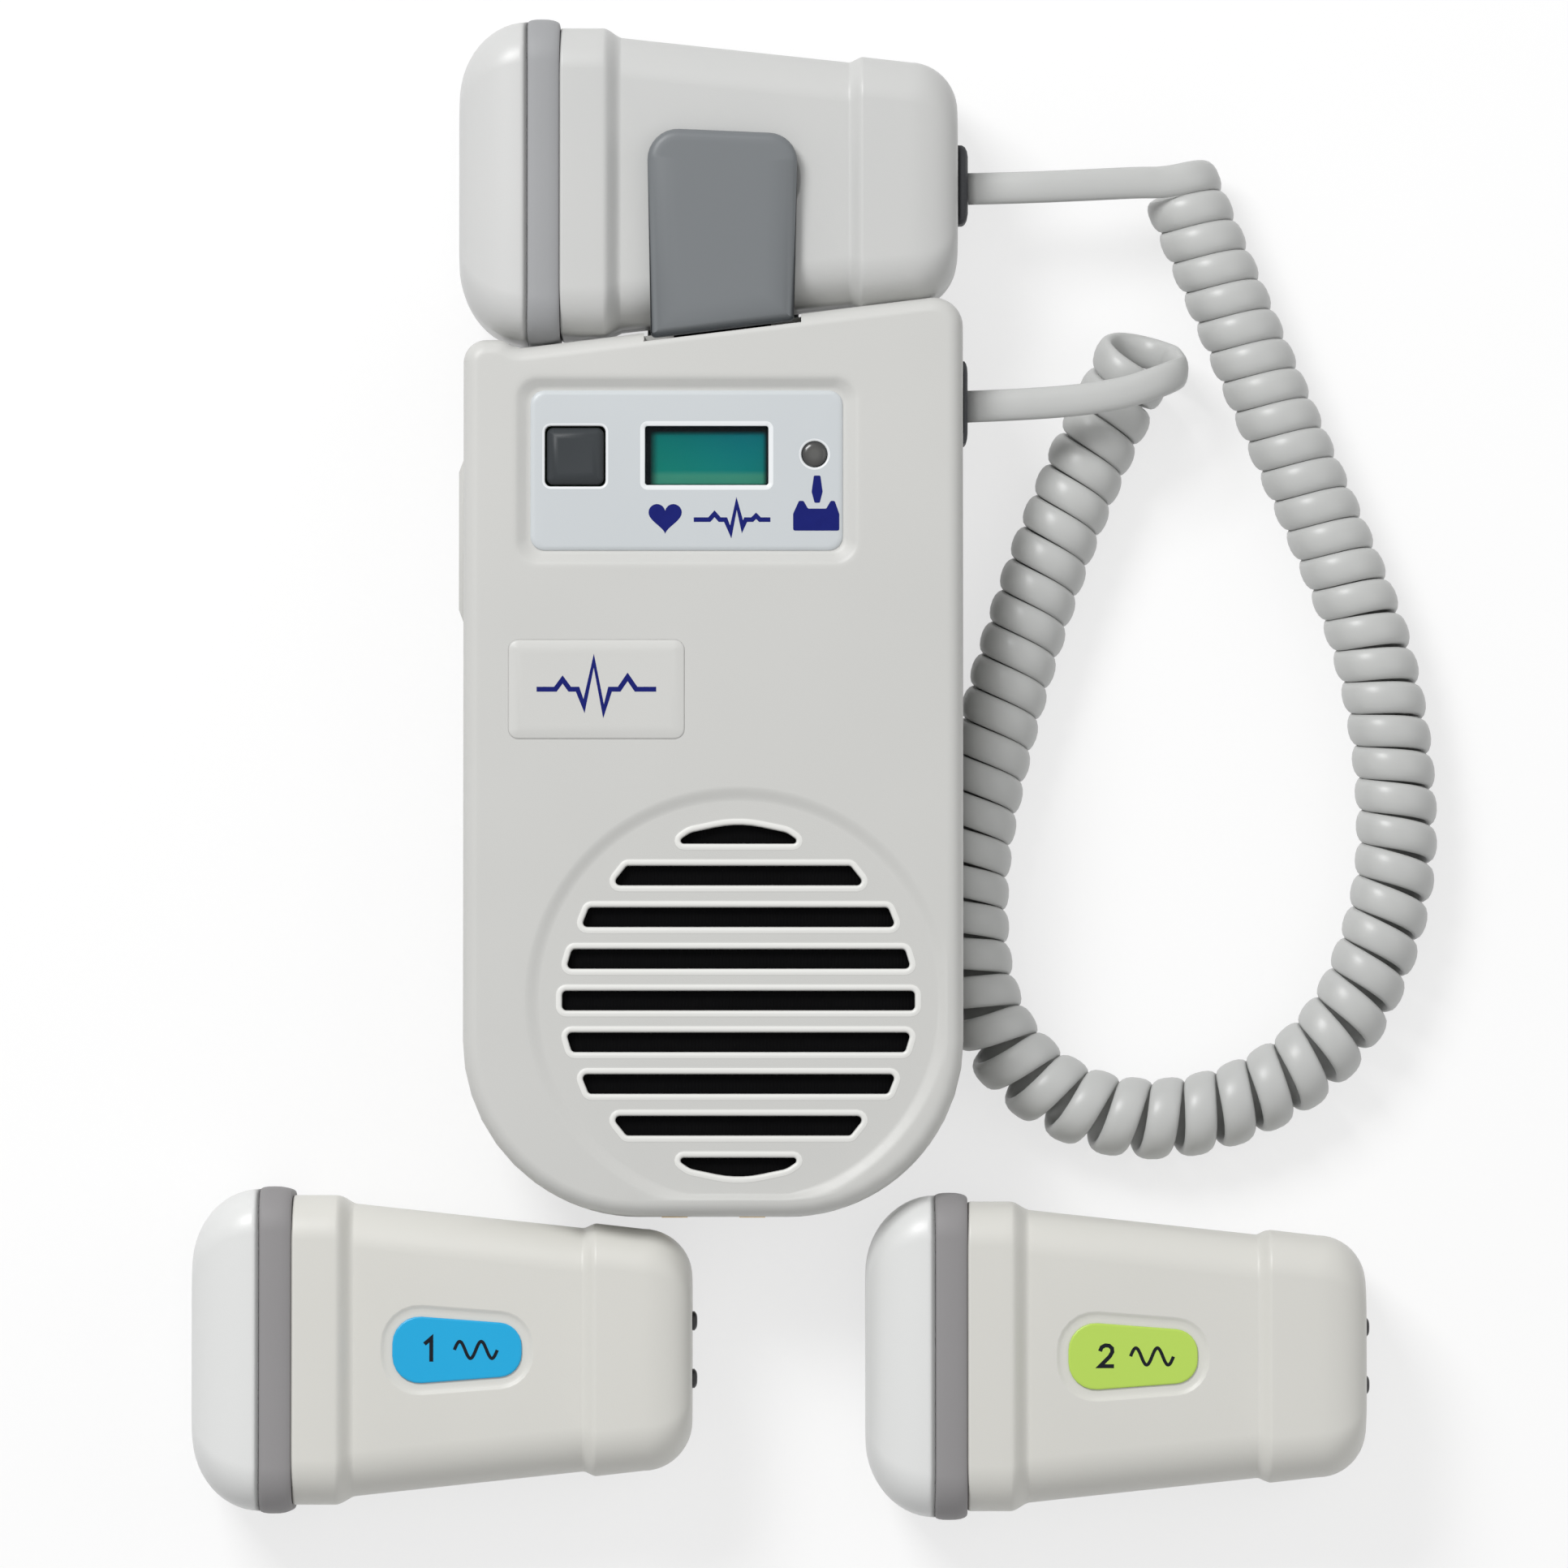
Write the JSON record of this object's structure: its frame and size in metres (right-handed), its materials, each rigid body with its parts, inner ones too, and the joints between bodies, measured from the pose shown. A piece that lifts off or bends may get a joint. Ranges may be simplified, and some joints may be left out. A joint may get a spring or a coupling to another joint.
{
  "type": "fetal doppler monitor",
  "caption": "Handheld fetal heart monitor with a slotted speaker, small display, a probe docked across its top on a flat curly cord, and spare probes beside it.",
  "frame": {"origin": "on the flat back of the main unit, on its centre line, at the edge of the battery door", "axes": "+X to the right of the unit's face, +Y towards its top, +Z out of its face; it lies on its back"},
  "size_m": [0.1931, 0.232, 0.0303],
  "materials": {
    "case_plastic": "satin",
    "probe_plastic": "satin",
    "nose_plastic": "smooth",
    "band_rubber": "matt",
    "holder_plastic": "satin",
    "overlay_film": "satin film",
    "window_glass": "clear",
    "display_teal": "smooth",
    "lens_dark": "smooth",
    "key_dark": "satin",
    "badge_pale": "satin",
    "label_blue": "gloss film",
    "label_green": "gloss film",
    "black_rubber": "matt",
    "cord_grey": "satin",
    "black_cloth": "woven",
    "plated_steel": "plated",
    "paper_cone": "matt",
    "ferrite": "matt",
    "board_green": "solder mask",
    "chip_black": "moulded",
    "cell_wrap": "wrapped",
    "gold_contact": "plated",
    "stud_black": "smooth",
    "crystal_ceramic": "matt"
  },
  "bodies": {
    "main_unit": {"front_case": "case_plastic", "rear_case": "case_plastic", "case_screws": "plated_steel", "charge_contacts": "gold_contact", "control_panel": "overlay_film", "display_window": "window_glass", "display_module": "display_teal", "indicator_lens": "lens_dark", "button_switch": "chip_black", "badge_plate": "badge_pale", "speaker_cloth": "black_cloth", "speaker_frame": "plated_steel", "speaker_cone": "paper_cone", "speaker_magnet": "ferrite", "circuit_board": "board_green", "board_components": "chip_black", "volume_switch": "chip_black", "rocker_pin": "plated_steel", "battery_cells": "cell_wrap", "battery_contacts": "plated_steel", "cable_grommet": "black_rubber", "clip_pin": "plated_steel", "clip_spring": "plated_steel", "cradle_plate": "holder_plastic", "coiled_cord": "cord_grey", "unit_lead": "cord_grey"},
    "power_button": {"power_button": "key_dark"},
    "volume_rocker": {"volume_rocker": "case_plastic"},
    "probe_clip": {"probe_clip": "holder_plastic"},
    "battery_door": {"battery_door": "case_plastic"},
    "cord_plug": {"probe_plug": "black_rubber", "probe_lead": "cord_grey"},
    "docked_probe": {"docked_nose_cap": "nose_plastic", "docked_seal_band": "band_rubber", "docked_upper_shell": "probe_plastic", "docked_lower_shell": "probe_plastic", "docked_label_plate": "label_blue", "docked_contact_studs": "stud_black", "docked_crystal_pair": "crystal_ceramic", "docked_tuning_board": "board_green"},
    "left_spare_probe": {"left_nose_cap": "nose_plastic", "left_seal_band": "band_rubber", "left_upper_shell": "probe_plastic", "left_lower_shell": "probe_plastic", "left_label_plate": "label_blue", "left_contact_studs": "stud_black", "left_crystal_pair": "crystal_ceramic", "left_tuning_board": "board_green"},
    "right_spare_probe": {"right_nose_cap": "nose_plastic", "right_seal_band": "band_rubber", "right_upper_shell": "probe_plastic", "right_lower_shell": "probe_plastic", "right_label_plate": "label_green", "right_contact_studs": "stud_black", "right_crystal_pair": "crystal_ceramic", "right_tuning_board": "board_green"}
  },
  "joints": [
    {"name": "power_button_press", "type": "slide", "parent": "main_unit", "child": "power_button", "axis": [0, 0, -1], "range_m": [0, 0.0006], "stiffness_N_per_m": 600, "springref_m": -0.0003},
    {"name": "volume_rocker_tilt", "type": "hinge", "parent": "main_unit", "child": "volume_rocker", "pos_m": [-0.0352, 0.03325, 0.0232], "axis": [0, 0, 1], "range_deg": [-2.5, 2.5], "stiffness_Nm_per_rad": 0.05},
    {"name": "probe_clip_spring", "type": "hinge", "parent": "main_unit", "child": "probe_clip", "pos_m": [0.0014, 0.06207, 0.0243], "axis": [0.9925, 0.1224, 0], "range_deg": [0, 6], "stiffness_Nm_per_rad": 1.2, "springref_deg": -2.86},
    {"name": "battery_door_slide", "type": "slide", "parent": "main_unit", "child": "battery_door", "axis": [0, -1, 0], "range_m": [0, 0.006]},
    {"name": "docked_probe_undock", "type": "slide", "parent": "main_unit", "child": "cord_plug", "axis": [0, 1, 0], "range_m": [0, 0.032]},
    {"name": "probe_unplug", "type": "slide", "parent": "cord_plug", "child": "docked_probe", "axis": [-1, 0, 0], "range_m": [0, 0.0015]},
    {"name": "left_spare_lift", "type": "slide", "parent": "main_unit", "child": "left_spare_probe", "axis": [0, 0, 1], "range_m": [0, 0.05]},
    {"name": "right_spare_lift", "type": "slide", "parent": "main_unit", "child": "right_spare_probe", "axis": [0, 0, 1], "range_m": [0, 0.05]}
  ]
}
